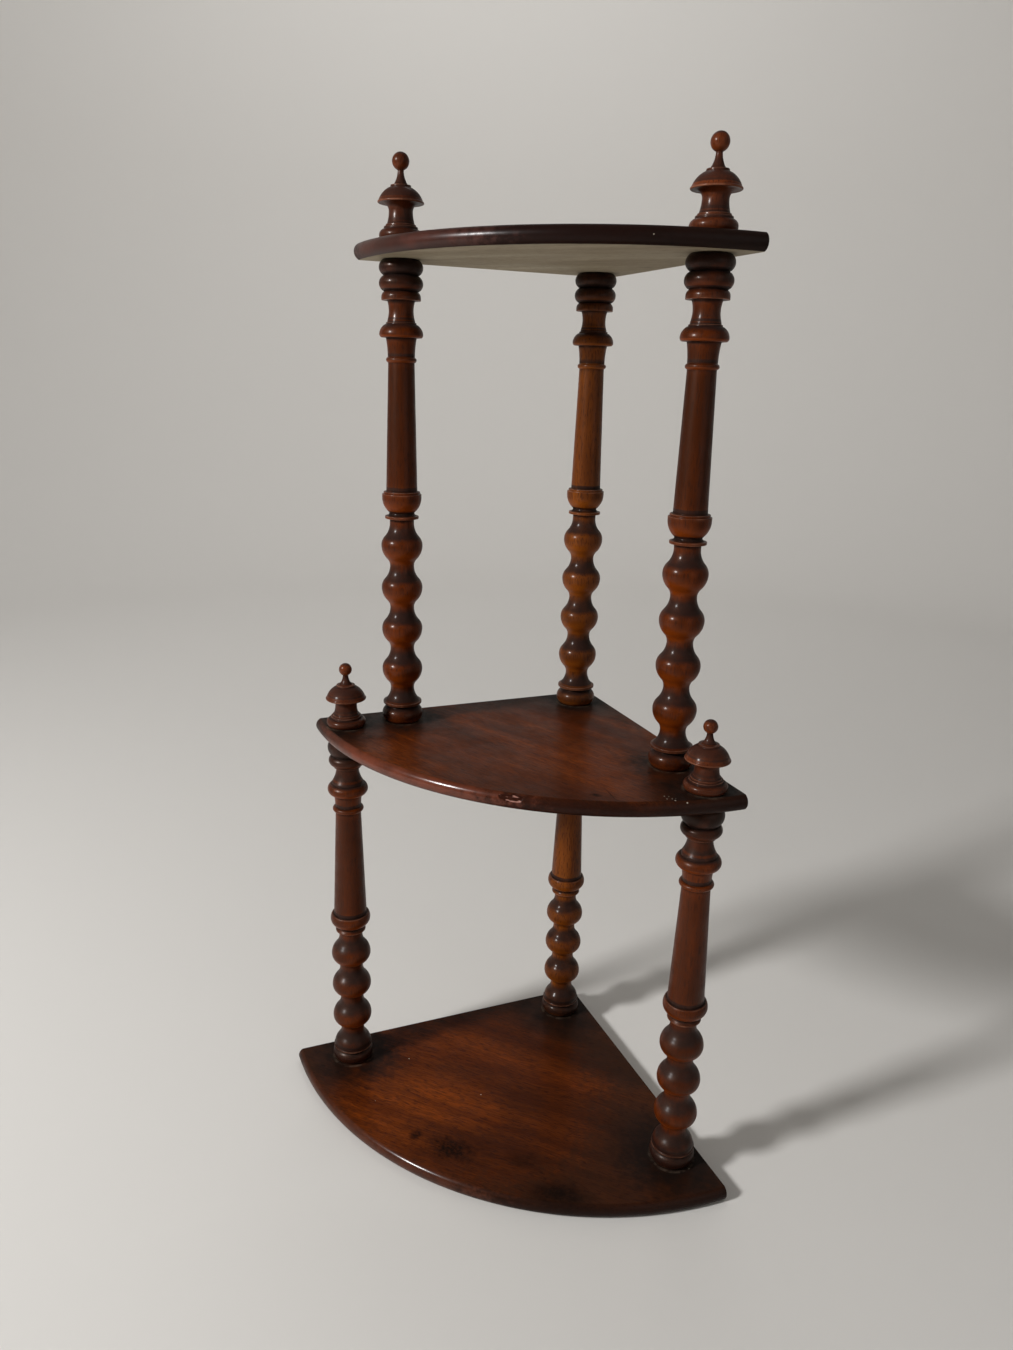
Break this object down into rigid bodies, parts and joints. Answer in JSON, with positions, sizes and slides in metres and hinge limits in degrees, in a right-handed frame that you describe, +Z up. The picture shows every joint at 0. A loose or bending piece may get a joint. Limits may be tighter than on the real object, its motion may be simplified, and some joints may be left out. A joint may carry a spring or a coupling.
{
  "type": "corner shelf",
  "caption": "Free-standing corner shelf of quarter-round polished wooden tiers on turned columns with turned finials, for display in a room corner.",
  "frame": {"origin": "on the floor under the bottom shelf, at the bottom centre of the bounding box", "axes": "+Z up, -Y the rounded front, +Y the room corner that the stand backs into, +X right from the front"},
  "size_m": [0.4696, 0.332, 0.9073],
  "materials": {
    "shelf_wood": "aged polish",
    "column_wood": "aged polish",
    "finial_wood": "aged polish",
    "wedge_wood": "raw"
  },
  "bodies": {
    "root": {"bottom_shelf": "shelf_wood", "middle_shelf": "shelf_wood", "top_shelf": "shelf_wood", "lower_column_left": "column_wood", "lower_column_right": "column_wood", "lower_column_back": "column_wood", "upper_column_left": "column_wood", "upper_column_right": "column_wood", "upper_column_back": "column_wood", "middle_finial_left": "finial_wood", "middle_finial_right": "finial_wood", "top_finial_left": "finial_wood", "top_finial_right": "finial_wood", "lower_peg_wedge_left": "wedge_wood", "lower_peg_wedge_right": "wedge_wood", "lower_peg_wedge_back": "wedge_wood", "upper_peg_wedge_left": "wedge_wood", "upper_peg_wedge_right": "wedge_wood"}
  },
  "joints": []
}
